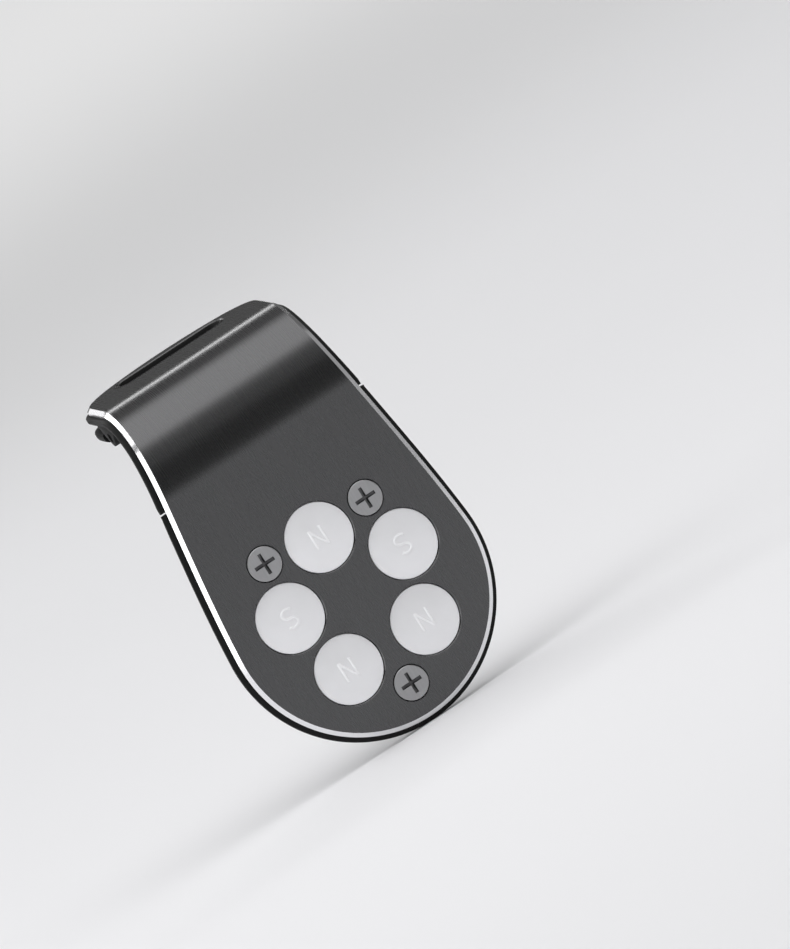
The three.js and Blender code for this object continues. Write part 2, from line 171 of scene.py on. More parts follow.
# The sides of the housing and of the jaw: how far each pulls in, and its share of the depth.
HOUSING_SIDE = ((0.1, 0), (0, 0.12), (0, 0.75), (0.1, 0.92), (0.3, 1))
JAW_SIDE = ((0.35, 0), (0.1, 0.05), (0, 0.16), (0, 0.45), (0.1, 0.65), (0.4, 0.82), (0.95, 0.94),
            (1.75, 1))

# Clip.
HINGE_Y = 10.2
HINGE_Z = 37.0
PIN_HALF_LENGTH = 15.25
PIN_RADIUS = 0.6
PIN_EDGE = 0.14
PIN_HOLE_RADIUS = 0.75
EAR_INNER_X = 13.25
EAR_RADIUS = 1.5
EAR_EDGE = 0.07
EAR_DEPTH = 1.5
EAR_START_LEAN = math.radians(58)
EAR_END_ALONG = 3.0
EAR_ARC = np.radians((200, 330))
KNUCKLE_RADIUS = 1.3
KNUCKLE_HALF_WIDTH = 12.95
KNUCKLE_EDGE = 0.12
SPRING_INNER_X = 5.8
SPRING_OUTER_X = 9.0
WIRE_RADIUS = 0.2
COIL_RADIUS = 1.05
COIL_START = math.radians(-95.5)
COIL_END = math.radians(173 + 5 * 360)
COIL_POINTS = 240
LEG_POINTS = 12
COIL_ROOM = 0.2
JAW_START = 3.0
JAW_TOP = 3.35
WEB_EDGE = 0.08
WEB_GAP = 0.02
PAD_START = 2.4
PAD_INSET = 1.05
PAD_RIB_PITCH = 1.06
PAD_RIB_HEIGHT = 0.16
TAB_HALF_WIDTH = 10.5
TAB_BOTTOM = 31.2
TAB_TOP = 36.6
TAB_CORNER = 2.2
TAB_RIB_HALF_LENGTH = 7.5
TAB_RIB_HALF_WIDTH = 0.2
TAB_RIB_HEIGHTS = (32.3, 33.1, 33.9)

# The ends of each spring's wire, on the liner and on the tab, as (y, z).
WIRE_ON_LINER = (6.6, 36.35)
WIRE_ON_TAB = (8.62, 33.2)

# The jaw's underside, as places along the flange from its bend and depths below its surface.
UNDERSIDE_ALONG = (3, 5.5, 8.5, 11, 12.6, 13.6)
UNDERSIDE_DEPTH = (5.1, 5.2, 5.05, 4.65, 4.15, 3.6)

# The webs from knuckle to jaw: places along their tops, and the depth of their feet.
KNUCKLE_WEB = ((0.0, 0.6, 3.5), 4.87)
POCKET_WEB = ((0.7, 3.5), 4.9)
WEB_END_DEPTH = 5.1

# The tab's front and back, as heights and how far behind the plate's face they are there.
TAB_FRONT = ((TAB_BOTTOM, 31.6, 34.6, 36.9), (8.9, 8.75, 9.25, 9.5))
TAB_BACK = ((TAB_BOTTOM, 31.5, 34.4, 35.9, 36.9), (9.6, 9.9, 10.5, 11.1, 11.1))

# The tab's side: how far it grows, and its share of the thickness.
TAB_SIDE = ((-0.25, 0), (-0.07, 0.1), (0, 0.3), (0, 0.7), (-0.07, 0.9), (-0.25, 1))

shell_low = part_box("front_shell")[0]
FACE_Y = shell_low.y
RING_Z = shell_low.z + PLATE_RADIUS * MM


def to_row(x, y, z):
    """Metres in the row frame, from millimetres in the plate's frame."""
    return Vector((x * MM, FACE_Y + y * MM, RING_Z + z * MM))


def centre_of(node):
    """The (x, z) middle of a CAD node and its radius, in millimetres in the plate's frame."""
    low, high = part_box(node)
    middle = (low + high) / 2
    return middle.x / MM, (middle.z - RING_Z) / MM, (high.x - low.x) / 2 / MM


MAGNETS = {
    "magnet_top": "N",
    "magnet_right": "S",
    "magnet_lower_right": "N",
    "magnet_lower_left": "N",
    "magnet_left": "S",
}
SCREWS = ("face_screw_right", "face_screw_left", "face_screw_bottom")


# ---- the bent sheet ----

SOFT_END = FLAT_TOP + SOFT_RADIUS * SOFT_ANGLE
BEND_END = SOFT_END + TIGHT_RADIUS * (FLANGE_LEAN - SOFT_ANGLE)
TIGHT_CENTRE_Y = SOFT_RADIUS - (SOFT_RADIUS - TIGHT_RADIUS) * math.cos(SOFT_ANGLE)
TIGHT_CENTRE_Z = FLAT_TOP + (SOFT_RADIUS - TIGHT_RADIUS) * math.sin(SOFT_ANGLE)
BEND_END_Y = TIGHT_CENTRE_Y - TIGHT_RADIUS * math.cos(FLANGE_LEAN)
BEND_END_Z = TIGHT_CENTRE_Z + TIGHT_RADIUS * math.sin(FLANGE_LEAN)


def lean_at(run):
    """How far the sheet leans back at a run, in radians."""
    if run <= FLAT_TOP:
        return 0.0
    if run <= SOFT_END:
        return (run - FLAT_TOP) / SOFT_RADIUS
    return min(SOFT_ANGLE + (run - SOFT_END) / TIGHT_RADIUS, FLANGE_LEAN)


def sheet_point(x, run, depth):
    """The place of a point at `run` along the sheet and `depth` below its outer surface.

    Towards the flange's end, deeper points are pulled in so that the end stands upright.
    """
    lean = lean_at(run)
    if run <= FLAT_TOP:
        return x, depth, run
    if run <= SOFT_END:
        reach = SOFT_RADIUS - depth
        return x, SOFT_RADIUS - reach * math.cos(lean), FLAT_TOP + reach * math.sin(lean)
    reach = TIGHT_RADIUS - depth
    beyond = max(run - BEND_END, 0.0)
    beyond -= depth * min(beyond / FLANGE_LENGTH, 1) / math.tan(FLANGE_LEAN)
    y = TIGHT_CENTRE_Y - reach * math.cos(lean) + beyond * math.sin(lean)
    z = TIGHT_CENTRE_Z + reach * math.sin(lean) + beyond * math.cos(lean)
    return x, y, z


def run_at_height(z):
    """The run at which the outer surface is at height z."""
    if z <= FLAT_TOP:
        return z
    soft_lean = math.asin(min((z - FLAT_TOP) / SOFT_RADIUS, 1))
    if soft_lean <= SOFT_ANGLE:
        return FLAT_TOP + SOFT_RADIUS * soft_lean
    if z < BEND_END_Z:
        lean = math.asin((z - TIGHT_CENTRE_Z) / TIGHT_RADIUS)
        return SOFT_END + TIGHT_RADIUS * (lean - SOFT_ANGLE)
    return BEND_END + (z - BEND_END_Z) / math.cos(FLANGE_LEAN)


def run_at_reach(y):
    """The run on the flange that is y behind the plate's face."""
    return BEND_END + (y - BEND_END_Y) / math.sin(FLANGE_LEAN)


# ---- plans: closed loops and open lines of flat points ----

def cubic(points, share):
    """The point at `share` along a cubic curve with four control points."""
    a, b, c, d = (np.array(p, float) for p in points)
    rest = 1 - share
    return rest**3 * a + 3 * rest**2 * share * b + 3 * rest * share**2 * c + share**3 * d


def resampled(points, step):
    """The open line's points, spread evenly about `step` apart."""
    points = np.array(points, float)
    lengths = np.linalg.norm(np.diff(points, axis=0), axis=1)
    travelled = np.concatenate(([0.0], np.cumsum(lengths)))
    wanted = np.linspace(0, travelled[-1], max(2, round(travelled[-1] / step) + 1))
    return np.column_stack([np.interp(wanted, travelled, points[:, axis]) for axis in (0, 1)])


def closed_loop(points, step):
    """A closed loop through the corners, with points about `step` apart."""
    corners = [*points, points[0]]
    sides = [resampled(pair, step)[:-1] for pair in zip(corners, corners[1:])]
    return np.vstack(sides)


def split_loop(points, parts):
    """A closed loop through the corners, with each side in the same number of parts."""
    corners = [*points, points[0]]
    sides = [np.linspace(a, b, parts, endpoint=False) for a, b in zip(corners, corners[1:])]
    return np.vstack(sides)


def softened(loop, rounds):
    """The closed loop with its corners rounded by averaging each point with its neighbours."""
    for _ in range(rounds):
        loop = (np.roll(loop, 1, 0) + 2 * loop + np.roll(loop, -1, 0)) / 4
    return loop


def grown(points, amount, closed=True):
    """An anticlockwise line of points, moved outwards at right angles to itself."""
    points = np.array(points, float)
    if closed:
        along = np.roll(points, -1, 0) - np.roll(points, 1, 0)
    else:
        along = np.gradient(points, axis=0)
    along /= np.linalg.norm(along, axis=1)[:, None]
    return points + amount * np.column_stack((along[:, 1], -along[:, 0]))


def circle(centre, radius, segments=96):
    """An anticlockwise circle about (u, v)."""
    angles = np.linspace(0, 2 * math.pi, segments, endpoint=False)
    return np.array(centre) + radius * np.column_stack((np.cos(angles), np.sin(angles)))


def round_slot(centre, half_length, half_width, segments=24):
    """An anticlockwise slot with round ends, long in its first direction."""
    straight = half_length - half_width
    right = np.linspace(-math.pi / 2, math.pi / 2, segments)
    left = right + math.pi
    return np.vstack([
        np.column_stack((centre[0] + side * straight + half_width * np.cos(angles),
                         centre[1] + half_width * np.sin(angles)))
        for side, angles in ((1, right), (-1, left))
    ])


def plate_side():
    """The plate's right side as (x, run), from the bottom round to the middle of the rear edge."""
    line = []
    for angle in np.linspace(-math.pi / 2, SIDE_START_ANGLE, 60):
        line.append((PLATE_RADIUS * math.cos(angle), PLATE_RADIUS * math.sin(angle)))
    start_x, start_z = line[-1]
    side_curve = (
        (start_x, start_z),
        (start_x - SIDE_START_HANDLE * math.sin(SIDE_START_ANGLE),
         start_z + SIDE_START_HANDLE * math.cos(SIDE_START_ANGLE)),
        (FLANGE_HALF_WIDTH, SIDE_END_HEIGHT - SIDE_END_HANDLE),
        (FLANGE_HALF_WIDTH, SIDE_END_HEIGHT),
    )
    for share in np.linspace(0, 1, 61)[1:]:
        x, z = cubic(side_curve, share)
        line.append((x, run_at_height(z)))
    rear_centre_y = REAR_REACH - REAR_EDGE_RADIUS
    rear_angle = math.asin(REAR_CORNER_X / REAR_EDGE_RADIUS)
    rear_corner_y = rear_centre_y + REAR_EDGE_RADIUS * math.cos(rear_angle)
    corner_curve = (
        (FLANGE_HALF_WIDTH, REAR_CORNER_START_Y),
        (FLANGE_HALF_WIDTH, REAR_CORNER_START_Y + REAR_CORNER_HANDLE),
        (REAR_CORNER_X + REAR_CORNER_HANDLE * math.cos(rear_angle),
         rear_corner_y - REAR_CORNER_HANDLE * math.sin(rear_angle)),
        (REAR_CORNER_X, rear_corner_y),
    )
    for share in np.linspace(0, 1, 25):
        x, y = cubic(corner_curve, share)
        line.append((x, run_at_reach(y)))
    for angle in np.linspace(rear_angle, 0, 16)[1:]:
        reach = rear_centre_y + REAR_EDGE_RADIUS * math.cos(angle)
        line.append((REAR_EDGE_RADIUS * math.sin(angle), run_at_reach(reach)))
    return resampled(line, OUTLINE_STEP)


PLATE_SIDE = plate_side()


def band(low=None, high=None):
    """The plate's outline between two runs, as a function of how far it grows."""
    runs = PLATE_SIDE[:, 1]
    first = 0 if low is None else int(np.argmax(runs > low + OUTLINE_STEP))
    last = len(runs) if high is None else int(np.argmax(runs > high - OUTLINE_STEP))

    def ring(grow):
        right = grown(PLATE_SIDE, grow, closed=False)[first:last]
        if low is not None:
            right = np.vstack(((right[0][0], low), right))
        if high is not None:
            right = np.vstack((right, (right[-1][0], high)))
        left = right[::-1] * (-1, 1)
        left = left[0 if high is not None else 1:None if low is not None else -1]
        parts = [right, left]
        if high is not None:
            parts.insert(1, np.linspace(right[-1], left[0], STRAIGHT_PARTS)[1:-1])
        if low is not None:
            parts.append(np.linspace(left[-1], right[0], STRAIGHT_PARTS)[1:-1])
        return np.vstack(parts)

    return ring


# ---- solids ----

class Shape:
    """A mesh in the making: points in the plate's frame, and the flat plan they came from."""

    def __init__(self):
        self.points = []
        self.plans = []
        self.faces = []
        self.looks = []
        self.skins = []

    def add(self, plan, place, level):
        """Adds the plan's points at a level, and gives their numbers."""
        start = len(self.points)
        for u, v in plan:
            self.points.append(place(u, v, level))
            self.plans.append((u, v))
        return list(range(start, len(self.points)))

    def face(self, corners, look=0, skin=0):
        """Adds a face. skin is 1 on the sheet's front, -1 on its back and 0 elsewhere."""
        self.faces.append(corners)
        self.looks.append(look)
        self.skins.append(skin)

    def wall(self, near, far, look=0):
        """Joins two rings of the same number of points with four-sided faces."""
        for i in range(len(near)):
            j = (i + 1) % len(near)
            self.face([near[i], far[i], far[j], near[j]], look)


def inside(points, loop):
    """Which of the points lie inside the closed loop, by counting crossings to one side."""
    x, y = points[:, 0][:, None], points[:, 1][:, None]
    start, end = loop, np.roll(loop, -1, 0)
    spans = (start[:, 1] > y) != (end[:, 1] > y)
    rise = np.where(end[:, 1] == start[:, 1], 1e-12, end[:, 1] - start[:, 1])
    crossing = start[:, 0] + (y - start[:, 1]) * (end[:, 0] - start[:, 0]) / rise
    return np.count_nonzero(spans & (x < crossing), axis=1) % 2 == 1


def inner_grid(loops, spacing):
    """Points on a grid inside the first loop and outside the others, clear of every loop."""
    if spacing is None:
        return np.empty((0, 2))
    low, high = loops[0].min(0), loops[0].max(0)
    us = np.arange(low[0] + spacing[0] / 2, high[0], spacing[0])
    vs = np.arange(low[1] + spacing[1] / 2, high[1], spacing[1])
    grid = np.array(np.meshgrid(us, vs)).reshape(2, -1).T
    kept = inside(grid, loops[0])
    for hole in loops[1:]:
        kept &= ~inside(grid, hole)
    grid = grid[kept]
    clear = 0.45 * min(spacing)
    edge = np.vstack(loops)
    gaps = np.array([np.min(np.sum((edge - point) ** 2, axis=1)) for point in grid])
    return grid[gaps > clear**2] if len(grid) else grid


def fill(shape, rings, place, level, spacing=None, look=0, skin=0):
    """Closes the first ring with triangles and leaves the other rings open."""
    loops = [np.array([shape.plans[i] for i in ring]) for ring in rings]
    grid = inner_grid(loops, spacing)
    flat = np.vstack([*loops, grid])
    names = [i for ring in rings for i in ring] + shape.add(grid, place, level)
    edges = []
    start = 0
    for ring in rings:
        edges += [(start + i, start + (i + 1) % len(ring)) for i in range(len(ring))]
        start += len(ring)
    made = delaunay_2d_cdt([Vector(point) for point in flat], edges, [], 0, 1e-7, True)
    triangles = np.array([[made[3][corner][0] for corner in face] for face in made[2]])
    middles = flat[triangles].mean(axis=1)
    kept = inside(middles, loops[0])
    for hole in loops[1:]:
        kept &= ~inside(middles, hole)
    for triangle in triangles[kept]:
        shape.face([names[i] for i in triangle], look, skin)


def loft(shape, rings, place, spacing=None, through=(), sunk=(), sunk_back=(), looks=(), cap=0,
         skins=False):
    """A closed solid through rings of (plan, level), filled at both ends.

    through, sunk and sunk_back are lists of rings: holes that go right through, and hollows in
    the first end and in the last. looks gives the material of each wall, where it isn't 0, and
    cap the material of both ends.
    """
    def walled(levels, wall_looks=()):
        made = [shape.add(plan, place, level) for plan, level in levels]
        for i, (near, far) in enumerate(zip(made, made[1:])):
            shape.wall(near, far, wall_looks[i] if i < len(wall_looks) else 0)
        return made

    outer = walled(rings, looks)
    holes = [walled(levels) for levels in through]
    # A hollow in the first end takes material 1. On the screws that is the darker steel, which is
    # painted shade in the recess.
    hollows = [walled(levels, [1] * len(levels)) for levels in sunk]
    back_hollows = [walled(levels) for levels in sunk_back]
    skin = 1 if skins else 0
    first = [outer[0]] + [hole[0] for hole in holes] + [hollow[0] for hollow in hollows]
    last = [outer[-1]] + [hole[-1] for hole in holes] + [hollow[0] for hollow in back_hollows]
    fill(shape, first, place, rings[0][1], spacing, cap, skin)
    fill(shape, last, place, rings[-1][1], spacing, cap, -skin)
    for levels, hollow in zip(sunk, hollows):
        fill(shape, [hollow[-1]], place, levels[-1][1], spacing, 1)
    for levels, hollow in zip(sunk_back, back_hollows):
        fill(shape, [hollow[-1]], place, levels[-1][1], spacing, 0)


def sheet_layer(top, bottom):
    """Places (x, run, share) between two depths below the sheet, each a function of (x, run)."""
    def place(x, run, share):
        depth = top(x, run) * (1 - share) + bottom(x, run) * share
        return sheet_point(x, run, depth)
    return place


def constant(value):
    """A depth that is the same everywhere."""
    return lambda *_: value


def facing_front(x, z, y):
    """Places (x, z) at depth y behind the plate's face."""
    return x, y, z


def facing_side(y, z, x):
    """Places (y, z) at x across the plate."""
    return x, y, z


def piece(name, shape, materials, body, nodes, smooth=30, blend=None):
    """Makes the object, in the row frame, and says which body it rides on and what it replaces."""
    mesh = bpy.data.meshes.new(name)
    mesh.from_pydata([to_row(*point) for point in shape.points], [], shape.faces)
    for made in materials:
        mesh.materials.append(made)
    mesh.polygons.foreach_set("material_index", shape.looks)
    edit = bmesh.new()
    edit.from_mesh(mesh)
    bmesh.ops.recalc_face_normals(edit, faces=edit.faces)
    edit.to_mesh(mesh)
    edit.free()
    mesh.polygons.foreach_set("use_smooth", [True] * len(mesh.polygons))
    mesh.set_sharp_from_angle(angle=math.radians(smooth))
    if any(shape.skins):
        sheet_normals(mesh, shape)
    obj = bpy.data.objects.new(name, mesh)
    bpy.context.scene.collection.objects.link(obj)
    if blend is None:
        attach(obj, body)
    else:
        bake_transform(obj)
    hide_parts(*nodes)
    return obj


def sheet_normals(mesh, shape):
    """Gives the sheet's two skins their true normals, and a flat map of the sheet for brushing."""
    flat_map = mesh.uv_layers.new(name="sheet")
    normals = [Vector(corner.vector) for corner in mesh.corner_normals]
    for polygon, skin in zip(mesh.polygons, shape.skins):
        for corner in polygon.loop_indices:
            x, run = shape.plans[mesh.loops[corner].vertex_index]
            flat_map.data[corner].uv = (x, run)
            if skin:
                lean = lean_at(run)
                normals[corner] = Vector((0, -math.cos(lean), math.sin(lean))) * skin
    mesh.normals_split_custom_set(normals)


# ---- materials ----

def new_material(name, color, metallic, roughness):
    """A material and its shader, with plain values that its textures then vary."""
    made = bpy.data.materials.new(name)
    made.use_nodes = True
    shader = made.node_tree.nodes["Principled BSDF"]
    shader.inputs["Base Color"].default_value = (*color, 1)
    shader.inputs["Metallic"].default_value = metallic
    shader.inputs["Roughness"].default_value = roughness
    return made, shader


def add_noise(made, size, stretch=(1, 1, 1), detail=3, flat_map=False):
    """A noise texture whose grains are about `size` metres, or flat-map units, across."""
    tree = made.node_tree
    if flat_map:
        source = tree.nodes.new("ShaderNodeUVMap")
        source.uv_map = "sheet"
        place = source.outputs["UV"]
    else:
        place = tree.nodes.new("ShaderNodeTexCoord").outputs["Object"]
    mapping = tree.nodes.new("ShaderNodeMapping")
    mapping.inputs["Scale"].default_value = [share / size for share in stretch]
    texture = tree.nodes.new("ShaderNodeTexNoise")
    texture.inputs["Scale"].default_value = 1
    texture.inputs["Detail"].default_value = detail
    tree.links.new(place, mapping.inputs["Vector"])
    tree.links.new(mapping.outputs["Vector"], texture.inputs["Vector"])
    return texture.outputs["Fac"]


def vary(made, socket, texture, low, high):
    """Drives a number on the shader with a texture, from low to high."""
    tree = made.node_tree
    spread = tree.nodes.new("ShaderNodeMapRange")
    spread.inputs["From Min"].default_value = 0.3
    spread.inputs["From Max"].default_value = 0.7
    spread.inputs["To Min"].default_value = low
    spread.inputs["To Max"].default_value = high
    tree.links.new(texture, spread.inputs["Value"])
    tree.links.new(spread.outputs["Result"], socket)


def tint(made, shader, texture, dark, light):
    """Varies the base colour between two colours with a texture."""
    tree = made.node_tree
    ramp = tree.nodes.new("ShaderNodeValToRGB")
    ramp.color_ramp.elements[0].position = 0.3
    ramp.color_ramp.elements[0].color = (*dark, 1)
    ramp.color_ramp.elements[1].position = 0.7
    ramp.color_ramp.elements[1].color = (*light, 1)
    tree.links.new(texture, ramp.inputs["Fac"])
    tree.links.new(ramp.outputs["Color"], shader.inputs["Base Color"])


def rough_up(made, shader, texture, height, strength=1.0):
    """Bumps the surface by `height` metres with a texture."""
    tree = made.node_tree
    bump = tree.nodes.new("ShaderNodeBump")
    bump.inputs["Distance"].default_value = height
    bump.inputs["Strength"].default_value = strength
    tree.links.new(texture, bump.inputs["Height"])
    tree.links.new(bump.outputs["Normal"], shader.inputs["Normal"])


def gray(value):
    """A gray with a touch of blue."""
    return (value, value, value * 1.02)


def brushed_gunmetal():
    """Dark plated steel, brushed along the plate: it blurs across and stays sharp lengthwise."""
    made, shader = new_material("brushed_gunmetal", gray(0.11), 1.0, 0.27)
    shader.inputs["Anisotropic"].default_value = 0.8
    tangent = made.node_tree.nodes.new("ShaderNodeTangent")
    tangent.direction_type = "UV_MAP"
    tangent.uv_map = "sheet"
    made.node_tree.links.new(tangent.outputs["Tangent"], shader.inputs["Tangent"])
    hairline = add_noise(made, 0.16, (1, 0.012, 1), 4, flat_map=True)
    tint(made, shader, hairline, gray(0.106), gray(0.114))
    vary(made, shader.inputs["Roughness"], hairline, 0.26, 0.29)
    return made


def polished_edge():
    """The bright chamfer that is cut through the dark plating."""
    made, shader = new_material("polished_edge", gray(0.82), 1.0, 0.16)
    vary(made, shader.inputs["Roughness"], add_noise(made, 0.0006), 0.13, 0.19)
    return made


def satin_plating():
    """Satin nickel on the magnets."""
    made, shader = new_material("satin_plating", gray(0.96), 0.4, 0.42)
    grain = add_noise(made, 0.00016, detail=2)
    cloud = add_noise(made, 0.004, detail=2)
    tint(made, shader, cloud, gray(0.94), gray(0.98))
    vary(made, shader.inputs["Roughness"], cloud, 0.38, 0.46)
    rough_up(made, shader, grain, 0.0000015, 0.5)
    return made


def white_mark():
    """White, slightly raised pole marks."""
    made, shader = new_material("white_mark", gray(0.98), 0.0, 0.45)
    vary(made, shader.inputs["Roughness"], add_noise(made, 0.0005), 0.42, 0.48)
    return made


def turned_steel(name, level, roughness):
    """Plain steel, turned or drawn, with faint streaks."""
    made, shader = new_material(name, gray(level), 1.0, roughness)
    grain = add_noise(made, 0.00025, (1, 1, 0.08), 3)
    tint(made, shader, grain, gray(level * 0.96), gray(level * 1.04))
    vary(made, shader.inputs["Roughness"], grain, roughness - 0.02, roughness + 0.03)
    rough_up(made, shader, grain, 0.000001, 0.4)
    return made


def moulded_black():
    """Black ABS with a fine spark-eroded grain."""
    made, shader = new_material("moulded_black", gray(0.005), 0.0, 0.6)
    shader.inputs["Specular IOR Level"].default_value = 0.22
    grain = add_noise(made, 0.00022, detail=4)
    cloud = add_noise(made, 0.006, detail=2)
    tint(made, shader, cloud, gray(0.004), gray(0.0065))
    vary(made, shader.inputs["Roughness"], cloud, 0.56, 0.66)
    rough_up(made, shader, grain, 0.000012, 0.8)
    return made


def soft_silicone():
    """Matt black silicone with a little dust in its grain."""
    made, shader = new_material("soft_silicone", gray(0.022), 0.0, 0.75)
    grain = add_noise(made, 0.00015, detail=3)
    dust = add_noise(made, 0.0015, detail=5)
    tint(made, shader, dust, gray(0.018), gray(0.032))
    vary(made, shader.inputs["Roughness"], dust, 0.68, 0.85)
    rough_up(made, shader, grain, 0.000008, 0.7)
    return made


GUNMETAL = brushed_gunmetal()
EDGE = polished_edge()
PLATING = satin_plating()
MARK_WHITE = white_mark()
SCREW_STEEL = turned_steel("screw_steel", 0.45, 0.36)
# The steel in the screws' recesses is darker than their heads: painted shade in the Phillips
# recess.
SCREW_RECESS_SHADE = turned_steel("screw_recess_painted_shade", 0.15, 0.5)
BARE_STEEL = turned_steel("bare_steel", 0.45, 0.38)
SPRING_STEEL = turned_steel("spring_steel", 0.5, 0.25)
PLASTIC = moulded_black()
SILICONE = soft_silicone()


# ---- the metal face ----

def flange_slot(grow):
    """The flange's long slot in the sheet's flat plan."""
    centre = (0, run_at_reach(SLOT_CENTRE_Y))
    return round_slot(centre, SLOT_HALF_LENGTH + grow, SLOT_HALF_WIDTH + grow)


def drilled(centre, radius, edge, taper=0, segments=96):
    """A round hole through the sheet, with its front edge broken, narrower at the back by taper."""
    sizes = ((edge, 0), (0, 0.1), (-taper, 1))
    return [(circle(centre, radius + grow, segments), share) for grow, share in sizes]


def front_shell():
    """The bent sheet, with its chamfer and its holes."""
    shape = Shape()
    outline = band()
    rings = [
        (outline(-CHAMFER_WIDTH), 0),
        (outline(0), CHAMFER_DEPTH),
        (outline(0), 1 - BACK_EDGE),
        (outline(-BACK_EDGE), 1),
    ]
    holes = []
    for node in MAGNETS:
        x, z, radius = centre_of(node)
        holes.append(drilled((x, z), radius + MAGNET_HOLE_GAP, MAGNET_HOLE_EDGE))
    for node in SCREWS:
        x, z, radius = centre_of(node)
        hole_radius = radius + SCREW_HOLE_GAP
        holes.append(drilled((x, z), hole_radius, SCREW_HOLE_EDGE, SCREW_HOLE_TAPER, 64))
    slot_sizes = ((SLOT_EDGE, 0), (0, SLOT_EDGE), (0, 1))
    holes.append([(flange_slot(grow), share) for grow, share in slot_sizes])
    place = sheet_layer(constant(0), constant(SHEET_THICKNESS))
    loft(shape, rings, place, (1.5, 0.4), through=holes, looks=(1, 1, 1), skins=True)
    piece("shell", shape, [GUNMETAL, EDGE], "holder", ["front_shell"])


def letter_n(half_width, half_height, stroke, drop):
    """The outline of a plain N, anticlockwise."""
    inner = half_width - stroke
    return [
        (-half_width, -half_height), (-inner, -half_height), (-inner, half_height - drop),
        (inner, -half_height), (half_width, -half_height), (half_width, half_height),
        (inner, half_height), (inner, drop - half_height), (-inner, half_height),
        (-half_width, half_height),
    ]


def letter_s(half_width, half_height, stroke):
    """The outline of a plain S, anticlockwise: two bowls, walked along and back."""
    bowl = (half_height - stroke / 2) / 2
    wide = half_width - stroke / 2
    upper = np.radians(np.linspace(35, 270, 16))
    lower = np.radians(np.linspace(90, -145, 16))
    spine = [(wide * math.cos(a), bowl + bowl * math.sin(a)) for a in upper]
    spine += [(wide * math.cos(a), -bowl + bowl * math.sin(a)) for a in lower[1:]]
    right = grown(spine, stroke / 2, closed=False)
    left = grown(spine, -stroke / 2, closed=False)
    return np.vstack((right, left[::-1]))


def pole_outline(mark):
    """The outline of a magnet's pole mark, about the magnet's middle."""
    if mark == "N":
        corners = letter_n(MARK_HALF_WIDTH, N_HALF_HEIGHT, MARK_STROKE, N_DIAGONAL_DROP)
    else:
        corners = letter_s(MARK_HALF_WIDTH, S_HALF_HEIGHT, MARK_STROKE)
    return closed_loop(corners, MARK_STEP)


def magnet(node, mark):
    """A plated disc with a rounded edge and its pole mark in low relief."""
    shape = Shape()
    x, z, radius = centre_of(node)
    low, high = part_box(node)
    front = (low.y - FACE_Y) / MM
    back = (high.y - FACE_Y) / MM
    rings = []
    for angle in np.radians((0, 30, 60, 90)):
        inset = MAGNET_ROUNDING * (1 - math.sin(angle))
        level = front + MAGNET_ROUNDING * (1 - math.cos(angle))
        rings.append((circle((x, z), radius - inset), level))
    rings.append((circle((x, z), radius), back - MAGNET_ROUNDING))
    rings.append((circle((x, z), radius - MAGNET_ROUNDING), back))
    loft(shape, rings, facing_front)
    outline = pole_outline(mark) + (x, z)
    mark_rings = [(grown(outline, grow), front - height) for grow, height in MARK_SIDE]
    loft(shape, mark_rings, facing_front, looks=(1, 1, 1), cap=1)
    piece(node + "_plated", shape, [PLATING, MARK_WHITE], "holder", [node],
          smooth=40)


def cross(arm, half_width):
    """The outline of a Phillips recess, anticlockwise."""
    points = []
    for turn in range(4):
        angle = turn * math.pi / 2
        ahead = np.array((math.cos(angle), math.sin(angle)))
        side = np.array((-math.sin(angle), math.cos(angle)))
        points += [ahead * arm - side * half_width, ahead * arm + side * half_width,
                   ahead * half_width + side * half_width]
    return split_loop(points, 4)


def face_screw(node):
    """A countersunk Phillips screw with a thread. Its Phillips recess takes a darker steel as
    painted shade.
    """
    shape = Shape()
    x, z, radius = centre_of(node)
    front = (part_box(node)[0].y - FACE_Y) / MM
    root = SCREW_SHANK_RADIUS - THREAD_DEPTH
    profile = [(radius - 0.1, front), (radius - 0.02, front + 0.04), (radius, front + 0.12),
               (SCREW_SHANK_RADIUS, SCREW_CONE_DEPTH)]
    depth = SCREW_CONE_DEPTH + 0.2
    while depth < SCREW_TIP_Y - 0.5:
        profile += [(SCREW_SHANK_RADIUS, depth), (root, depth + 0.12), (root, depth + 0.2),
                    (SCREW_SHANK_RADIUS, depth + 0.3)]
        depth += THREAD_PITCH
    profile += [(root, SCREW_TIP_Y - 0.15), (SCREW_TIP_RADIUS, SCREW_TIP_Y)]
    rings = [(circle((x, z), r, 64), y) for r, y in profile]
    centre = (x, z)
    recess = [
        (cross(RECESS_ARM, RECESS_HALF_WIDTH) + centre, front),
        (cross(RECESS_ARM - 0.1, RECESS_HALF_WIDTH - 0.02) + centre, front + 0.35),
        (cross(RECESS_ARM * 0.45, RECESS_HALF_WIDTH * 0.5) + centre, front + RECESS_DEPTH),
    ]
    loft(shape, rings, facing_front, sunk=[recess])
    piece(node + "_turned", shape, [SCREW_STEEL, SCREW_RECESS_SHADE], "holder", [node],
          smooth=20)


# ---- the mouldings on the holder ----

def cover_back(x, z):
    """How deep the cover's back is: level, then sloping away under the clip."""
    steepness = (BEHIND_COVER_Y - COVER_TOP_Y) / (COVER_TOP - COVER_SLOPE_START)
    slope = BEHIND_COVER_Y - (z - COVER_SLOPE_START) * steepness
    closeness = max(COVER_SLOPE_BLEND - abs(COVER_BACK_Y - slope), 0) / COVER_SLOPE_BLEND
    return min(COVER_BACK_Y, slope) - closeness**2 * COVER_SLOPE_BLEND / 4


